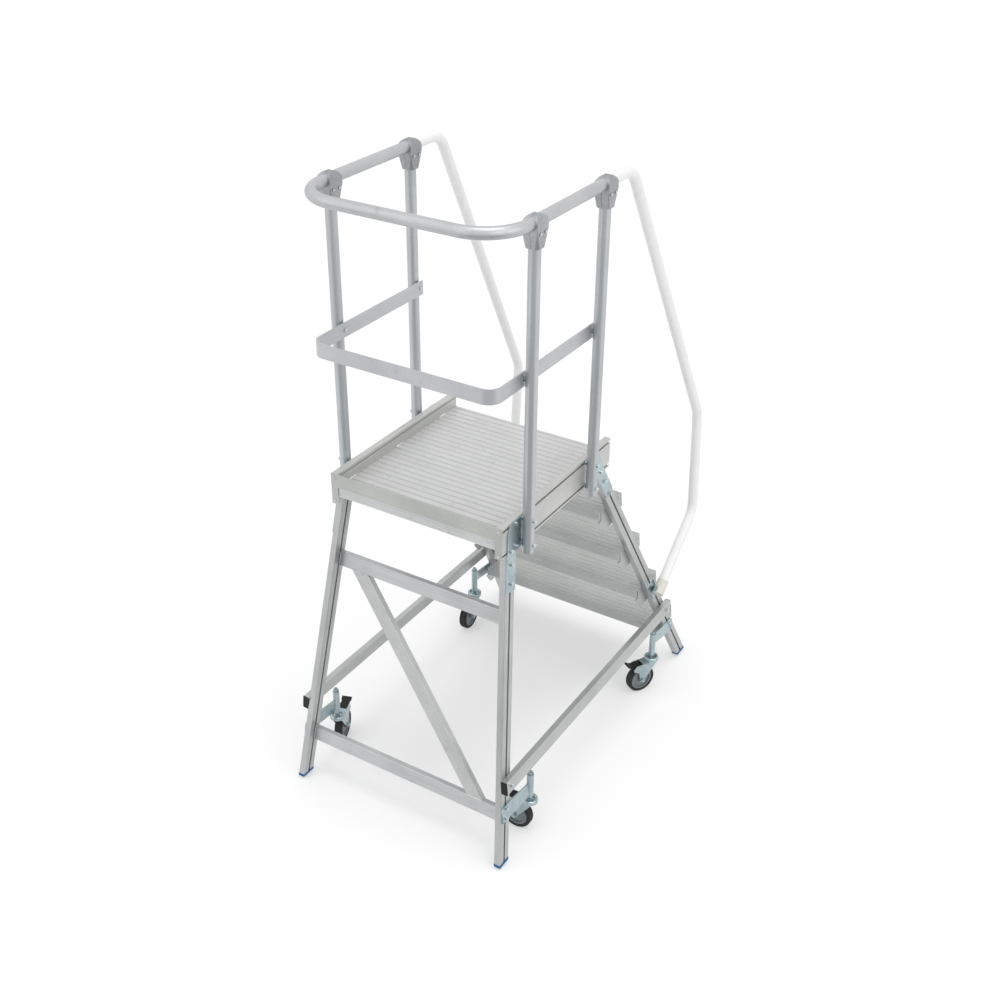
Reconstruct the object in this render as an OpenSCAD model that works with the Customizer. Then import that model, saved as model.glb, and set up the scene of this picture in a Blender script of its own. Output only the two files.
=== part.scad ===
// Mobile podium step: a stair with a guarded platform that rolls on four sprung castors.
// X runs across, Y from the guard end to the stair end, Z up from the floor.

/* [Stair] */
// Height from one tread to the next
rise = 250; // [220:1:270]
// Horizontal distance from one nose to the next
going = 139.5; // [120:0.5:170]
// Depth of a tread from rear lip to nose
tread_depth = 180; // [160:1:210]
// Thickness of a tread plate
tread_t = 3; // [2.5:0.5:5]
// Height of the tread nosing
nose_h = 57; // [45:1:70]
// Depth of the tread nosing box
nose_d = 29; // [22:1:36]
// Height of the rear lip of a tread
lip_h = 34; // [28:1:40]
// How far a nose stands behind the stiles
nose_out = 70; // [60:1:85]

/* [Platform] */
// Width over the side rails
platform_w = 697; // [600:1:800]
// Length of the side rails
platform_l = 747.5; // [700:0.5:850]
// Height of a side rail
rail_h = 120; // [105:1:140]
// Thickness of a side rail
rail_t = 25; // [23:1:32]
// How far the side rails stand above the deck
rail_up = 52; // [40:1:62]
// Height of a deck plank
plank_h = 36; // [28:1:40]
// Thickness of the toe board
toe_t = 3; // [2:0.5:5]

/* [Frame] */
// Width over the legs at the floor
base_w = 922; // [860:1:1000]
// Depth of the leg and stile extrusion
leg_w = 58; // [50:1:66]
// Thickness of the leg and stile extrusion
leg_t = 25; // [23:1:32]
// How far the front legs lean forwards over their height
leg_lean = 204; // [150:1:240]
// Set-back of the front legs from the rail ends
leg_back = 24; // [18:1:40]
// Height of the braces and side bars
bar_w = 54; // [48:1:62]
// Thickness of the braces and side bars
bar_t = 25; // [20:1:30]
// Wall of the braces and side bars
bar_wall = 2; // [1.5:0.5:3]
// Height of the upper brace above the floor
upper_brace_z = 950; // [880:1:1000]
// Height of the lower brace above the floor
lower_brace_z = 194; // [170:1:260]
// Height of the side bars above the floor
side_bar_z = 338; // [330:1:420]
// Thickness of the plates that join the frame
plate_t = 4; // [3:0.5:6]

/* [Guard rail] */
// Outer diameter of the guard tubes
tube_d = 40; // [34:1:46]
// Wall of the guard tubes
tube_wall = 2.5; // [2:0.5:3.5]
// Height of the top rail above the deck
guard_h = 1052; // [950:1:1100]
// Distance of the front uprights from the rail ends
upright_in = 117.5; // [105:0.5:140]
// Distance of the rear uprights from the other rail ends
rear_upright_in = 189.5; // [170:0.5:230]
// Length of the spacers between side rail and upright
spacer_l = 8.4; // [6:0.2:14]
// How far the top rail stands before the front uprights
guard_reach = 188; // [170:1:230]
// Bend radius of the top rail
guard_bend = 150; // [110:1:165]
// Height of the knee rail above the deck
knee_h = 543; // [480:1:600]
// Height of the knee rail bar
knee_w = 52; // [40:1:60]
// Thickness of the knee rail bar
knee_t = 5; // [4:0.5:7]
// How far the knee rail stands before the front uprights
knee_reach = 179; // [150:1:195]
// Corner radius of the knee rail
knee_bend = 48; // [40:1:70]

/* [Handrail] */
// Bend radius of the handrails
hand_bend = 90; // [70:1:100]
// How far the handrails stand behind the rail ends at the stair foot
hand_reach = 632; // [600:1:660]
// Height of the upper handrail bend below the top rail
hand_drop = 1148; // [1100:1:1200]
// Length of the upright part of a handrail between its corners
hand_upright = 450; // [420:1:480]
// Height of the handrail end above the floor
hand_foot_z = 480; // [465:1:500]

/* [Castors] */
// Diameter of a wheel
wheel_d = 125; // [115:1:130]
// Width of a tyre
wheel_w = 32; // [26:1:34]
// Trail of a castor
trail = 52; // [46:1:56]
// Diameter of a swivel head
head_d = 61; // [56:1:66]
// Height of the feet above the floor while it stands on its castors
foot_gap = 10; // [8:0.5:10.5]
// Reach of the front castor arms from the legs
front_reach = 170; // [155:1:180]
// Reach of the rear castor arms from the stiles
rear_reach = 163; // [155:1:185]
// Outer diameter of a spring tube
spring_tube_d = 26; // [25:0.5:30]
// Spring travel of a castor
travel = 11; // [10:0.5:11.5]

/* [Hidden] */
$fn = 64;
tread_count = 4;
plank_count = 5;
rib_count = 5;
tread_ribs = 7;
groove_w = 6;
groove_floor = 5;
groove_d = 1.6;
edge_grooves = 3;
edge_groove_w = 3;
edge_groove_d = 1.2;
fit = 0.15;
bolt_r = 4;
bolt_fit = 0.4;
head_r = 7.4;
head_h = 5.4;
washer_r = 8;
washer_t = 1.6;
slot_w = 8.6;
slot_lip = 2.5;
slot_deep = 7.6;
slot_in_w = 14.6;
rail_groove_w = 5;
rail_groove_d = 4;
nut_w = 13.6;
nut_t = 4;
wall = 2.4;
corner_r = 2.5;
cap_h = 9;
cap_over = 1.2;
plug_l = 22;
plug_fit = 0.3;
seat_gap = 0.03;
big = 4000;

// Levels of the frame, from the soles of the feet up to the top rail.
sole_z = foot_gap;
deck_z = sole_z + rise * (tread_count + 1);
rail_top = deck_z + rail_up;
rail_bot = rail_top - rail_h;
rail_half = platform_w / 2;
frame_rise = rail_bot - sole_z;
splay_a = atan((base_w / 2 - rail_half) / frame_rise);
side_l = frame_rise / cos(splay_a);
guard_z = deck_z + guard_h;
knee_z = deck_z + knee_h;
slot_in = 13;
slot_z_high = rail_top - slot_in;
slot_z_low = rail_bot + slot_in;

// Places along Y, with the whole part centred on the origin.
y_low = leg_back - leg_lean - cap_over;
y_high = platform_l + hand_reach + tube_d / 2;
y_rail = -(y_low + y_high) / 2;
y_end = y_rail + platform_l;
y_up_front = y_rail + upright_in;
y_up_rear = y_end - rear_upright_in;
guard_x = rail_half + spacer_l + tube_d / 2;
tube_r = tube_d / 2;
tube_in_r = tube_r - tube_wall;

// Slopes of legs and stiles in the splayed side planes.
leg_slope = leg_lean / frame_rise;
stair_slope = going / rise;
leg_a = atan(leg_slope * cos(splay_a));
stile_a = atan(stair_slope * cos(splay_a));
leg_y0 = y_rail + leg_back - leg_lean;
stile_run = leg_w / cos(stile_a);
stile_y0 = y_end + (deck_z - sole_z) * stair_slope - nose_out - stile_run;

function outer_x(z) = base_w / 2 - (z - sole_z) * tan(splay_a);
function slant(z) = (z - sole_z) / cos(splay_a);
function leg_y(z) = leg_y0 + (z - sole_z) * leg_slope;
function stile_y(z) = stile_y0 - (z - sole_z) * stair_slope;
function leg_mid_y(z) = leg_y(z) + leg_w / cos(leg_a) / 2;
function stile_mid_y(z) = stile_y(z) + stile_run / 2;
function nose_y(n) = y_end + (tread_count + 1 - n) * going;
function tread_z(n) = sole_z + rise * n;

// The braces lie in a plane that leans with the front legs.
brace_a = atan(leg_slope);
brace_in = (leg_w - bar_t) / 2;
upper_w = (upper_brace_z - sole_z) / cos(brace_a);
lower_w = (lower_brace_z - sole_z) / cos(brace_a);
diag_high_x = -0.367 * platform_w;
diag_low_x = 0.335 * base_w;

// Handrails run in planes that tilt out from the top rail to the stiles.
clip_wall = 3.5;
socket_r = tube_r + 3;
clip_r = socket_r + fit + clip_wall;
hand_off = plate_t + clip_r - 1;
hand_foot_x = outer_x(hand_foot_z) + hand_off;
hand_tilt = atan((hand_foot_x - guard_x) / (guard_z - hand_foot_z));
hand_y_b = y_end + hand_reach;
hand_v_b = hand_drop / cos(hand_tilt);
hand_v_c = hand_v_b + hand_upright;
hand_y_a = hand_y_b - hand_v_b * stair_slope;
hand_y_d = stile_mid_y(hand_foot_z);
hand_v_d = (guard_z - hand_foot_z) / cos(hand_tilt);
hand_turn_a = atan2(hand_v_b, hand_y_b - hand_y_a);
hand_turn_b = 90 - hand_turn_a;
hand_turn_c = atan2(hand_y_b - hand_y_d, hand_v_d - hand_v_c);
hand_leg_ab = norm([hand_y_b - hand_y_a, hand_v_b]);
hand_leg_cd = norm([hand_y_b - hand_y_d, hand_v_d - hand_v_c]);
hand_cut_a = hand_bend * tan(hand_turn_a / 2);
hand_cut_b = hand_bend * tan(hand_turn_b / 2);
hand_cut_c = hand_bend * tan(hand_turn_c / 2);
hand_gap = 0.5;
hand_ease = 0.1;
hand_y_start = y_up_rear + hand_gap;
hand_runs = [
    hand_y_a - hand_cut_a - hand_y_start,
    hand_leg_ab - hand_cut_a - hand_cut_b,
    hand_v_c - hand_v_b - hand_cut_b - hand_cut_c,
    hand_leg_cd - hand_cut_c
];
hand_turns = [-hand_turn_a, -hand_turn_b, -hand_turn_c];
socket_l = 62;
socket_tail = 14;

// Castors: heights above the floor while the springs carry the part.
wheel_r = wheel_d / 2;
head_r_out = head_d / 2;
floor_z = wheel_d + 17;
floor_t = 6;
head_top = floor_z + 16;
pin_r = 6;
run_fit = 0.15;
swivel_gap = 0.3;
nut_gap = 0.2;
disc_t = 3;
disc_r = 16.5;
recess_r = 18;
disc_z = floor_z + floor_t + swivel_gap;
tube_low = disc_z + disc_t + travel + 0.8;
tube_l = 109;
tube_high = tube_low + tube_l;
stem_r = 8;
rod_r = 5;
bush_l = 26;
top_t = 6;
seat_z = tube_low + bush_l + 16;
seat_t = 3;
tube_bore_r = spring_tube_d / 2 - 2.5;
seat_r = tube_bore_r - 0.5;
arm_t = 5;
castor_x = outer_x((tube_low + tube_high) / 2) + arm_t / 2;
arm_bolt_mid = 219;
arm_pitch_front = 40;
arm_pitch_rear = 28;
arm_edge = 13;
arm_half = 24;
castor_y_front = leg_mid_y(arm_bolt_mid) + front_reach;
castor_y_rear = stile_mid_y(arm_bolt_mid) - rear_reach;
fork_half = wheel_w / 2 + 2.6;
fork_t = 3;
axle_r = 5;
pedal_pin_r = 2.5;
pedal_t = trail + 12;
pedal_z = wheel_d + 9;
rest_fr = 180;
rest_rr = 240;
rest_rl = 273;
rest_fl = 109;

// Frames: the right side plane, both sides, the leaning plane of the braces, the deck edges.
module side_plane() {
    translate([base_w / 2, 0, sole_z])
        rotate([0, -splay_a, 0])
            children();
}

module flip(left) {
    if (left) {
        mirror([1, 0, 0]) children();
    } else {
        children();
    }
}

module both() {
    children();
    mirror([1, 0, 0]) children();
}

module leg_axis() {
    side_plane()
        translate([0, leg_y0, 0])
            rotate([-leg_a, 0, 0])
                children();
}

module stile_axis() {
    side_plane()
        translate([0, stile_y0, 0])
            rotate([stile_a, 0, 0])
                children();
}

module brace_plane() {
    translate([0, leg_mid_y(sole_z), sole_z])
        rotate([-brace_a, 0, 0])
            translate([0, brace_in, 0])
                children();
}

module slab(z_low, z_high) {
    translate([-big / 2, -big / 2, z_low])
        cube([big, big, z_high - z_low]);
}

module between_sides() {
    difference() {
        children();
        both()
            side_plane()
                translate([-leg_t, -big / 2, -big / 4])
                    cube([big / 2, big, big]);
    }
}

// Profiles
module round_box(w, d, r) {
    translate([r, 0])
        square([w - 2 * r, d]);
    translate([0, r])
        square([w, d - 2 * r]);
    for (x = [r, w - r], y = [r, d - r])
        translate([x, y])
            circle(r = r);
}

module slot_cut() {
    translate([-slot_lip - 0.1, -slot_w / 2])
        square([slot_lip + 1, slot_w]);
    translate([-slot_deep, -slot_in_w / 2])
        square([slot_deep - slot_lip, slot_in_w]);
}

module leg_chambers(shrink) {
    room = leg_w / 2 - slot_in_w / 2 - 2 * wall;
    for (y = [wall, leg_w - wall - room])
        translate([-leg_t + wall + shrink, y + shrink])
            square([leg_t - 2 * wall - 2 * shrink, room - 2 * shrink]);
}

module leg_section() {
    difference() {
        translate([-leg_t, 0])
            round_box(leg_t, leg_w, corner_r);
        translate([0, leg_w / 2])
            slot_cut();
        translate([-leg_t, leg_w / 2])
            mirror([1, 0])
                slot_cut();
        leg_chambers(0);
    }
}

module bar_section() {
    difference() {
        round_box(bar_t, bar_w, corner_r);
        translate([bar_wall, bar_wall])
            square([bar_t - 2 * bar_wall, bar_w - 2 * bar_wall]);
    }
}

module rail_section() {
    room_low = slot_in + slot_in_w / 2 + wall;
    room = (rail_h - 2 * room_low - wall) / 2;
    difference() {
        translate([-rail_t, 0])
            round_box(rail_t, rail_h, corner_r);
        for (z = [slot_in, rail_h - slot_in])
            translate([0, z])
                slot_cut();
        translate([-rail_t - 1, rail_h - slot_in - rail_groove_w / 2])
            square([rail_groove_d + 1, rail_groove_w]);
        for (z = [room_low, room_low + room + wall])
            translate([-rail_t + wall, z])
                square([rail_t - 2 * wall, room]);
    }
}

// Fasteners lie along X with the clamped face of the extrusion at x = 0.
module hex_head(r, h) {
    rotate([0, 90, 0])
        cylinder(r = r, h = h, $fn = 6);
}

module rod_x(r, x0, x1) {
    translate([x0, 0, 0])
        rotate([0, 90, 0])
            cylinder(r = r, h = x1 - x0);
}

module slot_bolt(stack) {
    translate([-slot_lip - 0.1 - nut_t, -nut_w / 2, -nut_w / 2])
        cube([nut_t, nut_w, nut_w]);
    rod_x(bolt_r, -slot_lip - nut_t, stack + washer_t);
    rod_x(washer_r, stack, stack + washer_t);
    translate([stack + washer_t, 0, 0])
        hex_head(head_r, head_h);
}

module bolt_hole(stack) {
    rod_x(bolt_r + bolt_fit, -1, stack + 1);
}

// Legs and stiles
module front_leg(left) {
    color("#C9CBCC")
        flip(left)
            intersection() {
                leg_axis()
                    translate([0, 0, -big / 20])
                        linear_extrude(side_l + big / 10)
                            leg_section();
                slab(sole_z + cap_h, rail_bot);
            }
}

module stair_stile(left) {
    color("#C9CBCC")
        flip(left)
            intersection() {
                stile_axis()
                    translate([0, 0, -big / 20])
                        linear_extrude(side_l / cos(stile_a) + big / 10)
                            leg_section();
                slab(sole_z + cap_h, rail_bot);
            }
}

module cap_body() {
    translate([-leg_t - cap_over, -cap_over, -big / 40])
        linear_extrude(big / 20)
            round_box(leg_t + 2 * cap_over, leg_w + 2 * cap_over, corner_r + cap_over);
}

module cap_plugs() {
    translate([0, 0, -big / 40])
        linear_extrude(big / 20)
            leg_chambers(plug_fit);
}

module foot_caps() {
    color("#2F6FB5")
        both() {
            intersection() {
                leg_axis() cap_body();
                slab(sole_z, sole_z + cap_h);
            }
            intersection() {
                leg_axis() cap_plugs();
                slab(sole_z + cap_h - 1, sole_z + cap_h + plug_l);
            }
            intersection() {
                stile_axis() cap_body();
                slab(sole_z, sole_z + cap_h);
            }
            intersection() {
                stile_axis() cap_plugs();
                slab(sole_z + cap_h - 1, sole_z + cap_h + plug_l);
            }
        }
}

// Braces between the front legs
module cross_brace(w) {
    between_sides()
        brace_plane()
            translate([-base_w / 2, bar_t / 2, w - bar_w / 2])
                rotate([90, 0, 90])
                    linear_extrude(base_w)
                        translate([-bar_t, 0])
                            bar_section();
}

module upper_brace() {
    color("#C4C6C8")
        cross_brace(upper_w);
}

module lower_brace() {
    color("#C4C6C8")
        cross_brace(lower_w);
}

module diagonal_brace() {
    dx = diag_low_x - diag_high_x;
    dw = upper_w - lower_w - bar_w;
    span = norm([dx, dw]);
    color("#C4C6C8")
        intersection() {
            brace_plane()
                translate([diag_low_x, 0, lower_w + bar_w / 2])
                    rotate([0, -atan2(dx, dw), 0])
                        translate([-bar_w / 2, bar_t / 2, -bar_w])
                            rotate([0, 0, -90])
                                linear_extrude(span + 2 * bar_w)
                                    bar_section();
            brace_plane()
                translate([-big / 2, -big / 2, lower_w + bar_w / 2])
                    cube([big, big, dw]);
        }
}

// Lower side bars
bar_y_front = leg_y(side_bar_z) + 1;
bar_y_rear = stile_y(side_bar_z) + stile_run;
bar_cap_t = 3;

module side_bar(left) {
    color("#C9CBCC")
        flip(left)
            difference() {
                side_plane()
                    translate([0, bar_y_rear, slant(side_bar_z) - bar_w / 2])
                        rotate([90, 0, 0])
                            linear_extrude(bar_y_rear - bar_y_front)
                                bar_section();
                side_bar_bolts_at() rod_x(bolt_r + bolt_fit, -1, bar_t + 1);
            }
}

module side_bar_bolts_at() {
    side_plane()
        translate([0, leg_mid_y(side_bar_z), slant(side_bar_z)])
            rotate([-leg_a, 0, 0])
                children();
    side_plane()
        translate([0, stile_mid_y(side_bar_z), slant(side_bar_z)])
            rotate([stile_a, 0, 0])
                children();
}

module bar_cap() {
    translate([0, -bar_cap_t - seat_gap, -bar_w / 2])
        rotate([-90, 0, 0])
            mirror([0, 1, 0])
                linear_extrude(bar_cap_t)
                    round_box(bar_t, bar_w, corner_r);
    translate([bar_wall + plug_fit, -1, -bar_w / 2 + bar_wall + plug_fit])
        cube([bar_t - 2 * bar_wall - 2 * plug_fit, 14, bar_w - 2 * bar_wall - 2 * plug_fit]);
}

module bar_end_caps() {
    color("#202123")
        both()
            side_plane() {
                translate([0, bar_y_front, slant(side_bar_z)])
                    bar_cap();
                translate([0, bar_y_rear, slant(side_bar_z)])
                    mirror([0, 1, 0])
                        bar_cap();
            }
}

// Platform
module side_rail(left) {
    color("#CDCFD0")
        flip(left)
            translate([rail_half, y_end, rail_bot])
                rotate([90, 0, 0])
                    linear_extrude(platform_l)
                        rail_section();
}

screw_x = rail_half - rail_t / 2;
screw_r = 2;
toe_over = 3;

module toe_screws_at() {
    for (x = [-screw_x, screw_x], z = [slot_z_low, slot_z_high])
        translate([x, y_rail, z])
            rotate([0, 0, -90])
                children();
}

module toe_board() {
    side = rail_t + toe_over;
    color("#D2D4D5")
        difference() {
            translate([-rail_half, y_rail - toe_t, rail_bot])
                cube([platform_w, toe_t, rail_h]);
            translate([-rail_half + side, y_rail - toe_t - 1, rail_bot - 1])
                cube([platform_w - 2 * side, toe_t + 2, deck_z - rail_bot + 1]);
            toe_screws_at() rod_x(screw_r + bolt_fit, -1, toe_t + 1);
        }
}

plank_d = platform_l / plank_count;
plank_gap = 0.4;
deck_half = rail_half - rail_t;
beam_w = 30;
beam_h = min(24, deck_z - plank_h - rail_bot - 2);
beam_in = 62;

// Shallow groove with slightly sloped sides, cut down from Y = 0, leaving a broad flat rib on each side.
module rib_groove() {
    polygon([
        [-groove_w / 2, 0], [-groove_floor / 2, -groove_d], [groove_floor / 2, -groove_d],
        [groove_w / 2, 0], [groove_w / 2, 1], [-groove_w / 2, 1]
    ]);
}

module plank_section() {
    full = plank_d - plank_gap;
    inner = (full - 4 * wall) / 3;
    rib = plank_d / rib_count;
    difference() {
        square([full, plank_h]);
        for (i = [0 : 2])
            translate([wall + i * (inner + wall), wall])
                square([inner, plank_h - 2 * wall - groove_d]);
        for (i = [0 : rib_count - 1])
            translate([(i + 0.5) * rib, plank_h])
                rib_groove();
        for (x = [0, full], i = [1 : edge_grooves])
            translate([x - edge_groove_d, i * plank_h / (edge_grooves + 1) - edge_groove_w / 2])
                square([2 * edge_groove_d, edge_groove_w]);
    }
}

module deck_planks() {
    color("#D6D7D8")
        for (i = [0 : plank_count - 1])
            translate([-deck_half, y_rail + i * plank_d + plank_gap / 2, deck_z - plank_h])
                rotate([90, 0, 90])
                    linear_extrude(2 * deck_half)
                        plank_section();
}

module deck_beam() {
    translate([-deck_half, 0, deck_z - plank_h - beam_h])
        rotate([90, 0, 90])
            linear_extrude(2 * deck_half)
                difference() {
                    square([beam_w, beam_h]);
                    translate([wall, wall])
                        square([beam_w - 2 * wall, beam_h - 2 * wall]);
                }
}

module deck_beams() {
    color("#C4C6C8") {
        translate([0, y_rail + beam_in, 0])
            deck_beam();
        translate([0, y_end - beam_in - beam_w, 0])
            deck_beam();
    }
}

// Treads
nose_in = nose_d - 2 * tread_t;
nose_room = nose_h - 2 * tread_t;
drain_r = 2.5;

module tread_section() {
    rib = (tread_depth - 2 * tread_t) / tread_ribs;
    difference() {
        union() {
            translate([-tread_depth, -tread_t])
                square([tread_depth, tread_t]);
            translate([-nose_d, -nose_h])
                square([nose_d, nose_h]);
            translate([-tread_depth, -lip_h])
                square([tread_t, lip_h]);
            translate([-tread_depth, -lip_h])
                square([3 * tread_t, tread_t]);
        }
        translate([-nose_d + tread_t, -nose_h + tread_t])
            polygon([[0, 0], [nose_in, 0], [0, nose_room - 2 * tread_t]]);
        translate([-nose_d + tread_t, -nose_h + tread_t])
            polygon([[nose_in, 2 * tread_t], [nose_in, nose_room], [0, nose_room]]);
        for (i = [0 : tread_ribs - 1])
            translate([-tread_depth + tread_t + (i + 0.5) * rib, 0])
                rib_groove();
    }
}

module tread(n) {
    color("#D6D7D8") {
        between_sides()
            tread_run(n)
                tread_section();
        both()
            intersection() {
                tread_run(n)
                    nose_end();
                side_plane()
                    translate([-leg_t - tread_t, -big / 2, 0])
                        cube([tread_t, big, side_l]);
            }
    }
}

// End plate of the hollow nosing, with a drain hole for each of its two chambers.
module nose_end() {
    difference() {
        translate([-nose_d, -nose_h])
            square([nose_d, nose_h]);
        for (share = [1 / 3, 2 / 3])
            translate([-nose_d + tread_t + share * nose_in, -nose_h + tread_t + share * nose_room])
                circle(r = drain_r);
    }
}

// Extrudes a tread profile across the whole width.
module tread_run(n) {
    translate([-base_w / 2, nose_y(n), tread_z(n)])
        rotate([90, 0, 90])
            linear_extrude(base_w)
                children();
}

gusset_t = plate_t;
gusset_bolt_z = [24, 56];
gusset_h = 88;
gusset_cut = 20;
gusset_out = 9;
gusset_clear = 3;

module gusset_bolts_at(n) {
    for (d = gusset_bolt_z)
        side_plane()
            translate([-leg_t, stile_mid_y(tread_z(n) - d), slant(tread_z(n) - d)])
                rotate([stile_a, 0, 0])
                    mirror([1, 0, 0])
                        children();
}

module gusset(n) {
    top = slant(tread_z(n));
    under_lip = top - lip_h - gusset_clear;
    low = top - gusset_h;
    rear = nose_y(n) - tread_depth;
    inside = rear + 3 * tread_t + gusset_clear;
    front = nose_y(n) - nose_d - gusset_clear;
    difference() {
        intersection() {
            side_plane()
                translate([-leg_t - gusset_t - seat_gap, 0, 0])
                    rotate([90, 0, 90])
                        linear_extrude(gusset_t)
                            polygon([
                                [inside, top], [front, top],
                                [front, low + gusset_cut], [front - gusset_cut, low],
                                [inside + gusset_cut, low],
                                [rear - gusset_out, under_lip], [inside, under_lip]
                            ]);
            slab(0, tread_z(n) - tread_t);
        }
        gusset_bolts_at(n) bolt_hole(gusset_t);
    }
}

module tread_gussets() {
    color("#B9BEC3")
        both()
            for (n = [1 : tread_count])
                gusset(n);
}

// Guard rails
upright_low = rail_bot - 16;
upright_stop = 18;
upright_high = guard_z - tube_r - upright_stop;

module rail_bolts_at(y) {
    for (z = [slot_z_low, slot_z_high])
        translate([rail_half, y, z])
            children();
}

module knee_bolt_at(y) {
    translate([guard_x - tube_r, y, knee_z])
        children();
}

module upright(y) {
    difference() {
        translate([guard_x, y, upright_low])
            cylinder(r = tube_r, h = upright_high - upright_low);
        translate([guard_x, y, upright_low - 1])
            cylinder(r = tube_in_r, h = upright_high - upright_low + 2);
        rail_bolts_at(y) rod_x(bolt_r + bolt_fit, spacer_l - 1, spacer_l + tube_d + 1);
        knee_bolt_at(y) rod_x(bolt_r + bolt_fit, -1, tube_r);
    }
}

module front_uprights() {
    color("#D4D5D6")
        both() upright(y_up_front);
}

module rear_uprights() {
    color("#D4D5D6")
        both() upright(y_up_rear);
}

// Rod that starts along +X and bends in the XY plane, a positive turn to the left.
// Straight runs that are thinner by ease end a little way inside the bends.
module bent_rod(r, ease, bend, runs, turns, i) {
    reach = ease > 0 ? 1.5 : 0;
    x0 = i == 0 ? 0 : -reach;
    x1 = i == len(turns) ? runs[i] : runs[i] + reach;
    rod_x(r - ease, x0, x1);
    if (i < len(turns)) {
        side = turns[i] > 0 ? 1 : -1;
        start = turns[i] > 0 ? -90 : 90 + turns[i];
        translate([runs[i], side * bend, 0]) {
            rotate([0, 0, start])
                rotate_extrude(angle = abs(turns[i]))
                    translate([bend, 0])
                        circle(r = r);
            rotate([0, 0, turns[i]])
                translate([0, -side * bend, 0])
                    bent_rod(r, ease, bend, runs, turns, i + 1);
        }
    }
}

module bent_tube(ease, bend, runs, turns) {
    last = len(runs) - 1;
    over = [for (i = [0 : last]) runs[i] + (i == 0 || i == last ? 1 : 0)];
    difference() {
        bent_rod(tube_r, ease, bend, runs, turns, 0);
        translate([-1, 0, 0])
            bent_rod(tube_in_r, ease, bend, over, turns, 0);
    }
}

module top_rail() {
    side = y_up_rear - y_up_front + guard_reach - guard_bend;
    color("#D4D5D6")
        translate([guard_x, y_up_rear, guard_z])
            rotate([0, 0, -90])
                bent_tube(0, guard_bend, [side, 2 * (guard_x - guard_bend), side], [-90, -90]);
}

knee_gap = 6;
knee_half = guard_x - tube_r - knee_gap;
knee_front = y_up_front - knee_reach;
knee_tail = 16;

module knee_band(z0, z1) {
    far = y_up_rear + knee_tail;
    mid = knee_front + knee_bend;
    translate([0, 0, z0])
        linear_extrude(z1 - z0)
            difference() {
                union() {
                    translate([-knee_half, mid])
                        square([2 * knee_half, far - mid]);
                    translate([-knee_half + knee_bend, knee_front])
                        square([2 * knee_half - 2 * knee_bend, knee_bend]);
                    for (x = [-1, 1])
                        translate([x * (knee_half - knee_bend), mid])
                            circle(r = knee_bend);
                }
                translate([-knee_half + knee_t, mid])
                    square([2 * knee_half - 2 * knee_t, far - mid + 1]);
                translate([-knee_half + knee_bend, knee_front + knee_t])
                    square([2 * knee_half - 2 * knee_bend, knee_bend]);
                for (x = [-1, 1])
                    translate([x * (knee_half - knee_bend), mid])
                        circle(r = knee_bend - knee_t);
            }
}

module knee_rail() {
    color("#CDCFD0")
        difference() {
            knee_band(knee_z - knee_w / 2, knee_z + knee_w / 2);
            both() {
                knee_bolt_at(y_up_front) rod_x(bolt_r + bolt_fit, -knee_gap - knee_t - 1, 1);
                knee_bolt_at(y_up_rear) rod_x(bolt_r + bolt_fit, -knee_gap - knee_t - 1, 1);
            }
        }
}

clamp_wall = 7.5;
clamp_half = tube_r + clamp_wall;
clamp_len = tube_r + 12;
clamp_foot = tube_r + 4.5;
clamp_drop = 77;
clamp_waist = 20;
clamp_split = 0.8;
clamp_low = guard_z - clamp_drop;
clamp_bolt_r = 3;
clamp_spot_r = 6.6;
clamp_seat = clamp_half - 1.5;
clamp_head_r = 5.4;
clamp_head_h = 3.8;
clamp_bolt_y = 15;
clamp_bolt_z = tube_r + 9;
facet_low = clamp_foot * 1.12;
facet_a = atan((clamp_half * 1.5 - facet_low) / (clamp_drop - clamp_waist));

module clamp_bolts_at(y) {
    for (s = [-1, 1])
        translate([guard_x, y + s * clamp_bolt_y, guard_z - clamp_bolt_z])
            children();
}

// Side outline of a clamp: round over the rail and narrower down to the upright.
module clamp_outline(half) {
    translate([0, clamp_half - half])
        circle(r = half);
    polygon([
        [-clamp_foot, -clamp_drop], [clamp_foot, -clamp_drop], [half, -clamp_waist],
        [half, clamp_half - half], [-half, clamp_half - half], [-half, -clamp_waist]
    ]);
}

module clamp_body(y) {
    difference() {
        translate([guard_x, y, guard_z])
            intersection() {
                translate([0, clamp_len, 0])
                    rotate([90, 0, 0])
                        linear_extrude(2 * clamp_len)
                            clamp_outline(clamp_half);
                translate([-clamp_len, 0, 0])
                    rotate([90, 0, 90])
                        linear_extrude(2 * clamp_len)
                            clamp_outline(clamp_len);
            }
        for (a = [45 : 90 : 315])
            translate([guard_x, y, clamp_low])
                rotate([0, 0, a])
                    translate([facet_low, 0, 0])
                        rotate([0, facet_a, 0])
                            translate([0, -clamp_len, -clamp_drop])
                                cube([clamp_len, 2 * clamp_len, 3 * clamp_drop]);
        translate([guard_x, y + 2 * clamp_len, guard_z])
            rotate([90, 0, 0])
                cylinder(r = tube_r + fit, h = 4 * clamp_len);
        translate([guard_x, y, clamp_low - 1])
            cylinder(r = tube_r + fit, h = upright_high - clamp_low + 1.5);
        translate([guard_x - clamp_split / 2, y - 2 * clamp_len, clamp_low - 1])
            cube([clamp_split, 4 * clamp_len, 2 * clamp_drop]);
        clamp_bolts_at(y) {
            rod_x(clamp_bolt_r + bolt_fit, -clamp_len, clamp_len);
            rod_x(clamp_spot_r, clamp_seat, clamp_len);
            rod_x(clamp_spot_r, -clamp_len, -clamp_seat);
        }
    }
}

module rail_clamps() {
    color("#8E9296")
        both() {
            clamp_body(y_up_front);
            clamp_body(y_up_rear);
        }
}

// Handrails
module hand_plane() {
    translate([guard_x, hand_y_start, guard_z])
        rotate([0, -hand_tilt, 0])
            rotate([0, 0, 90])
                rotate([90, 0, 0])
                    children();
}

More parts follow.
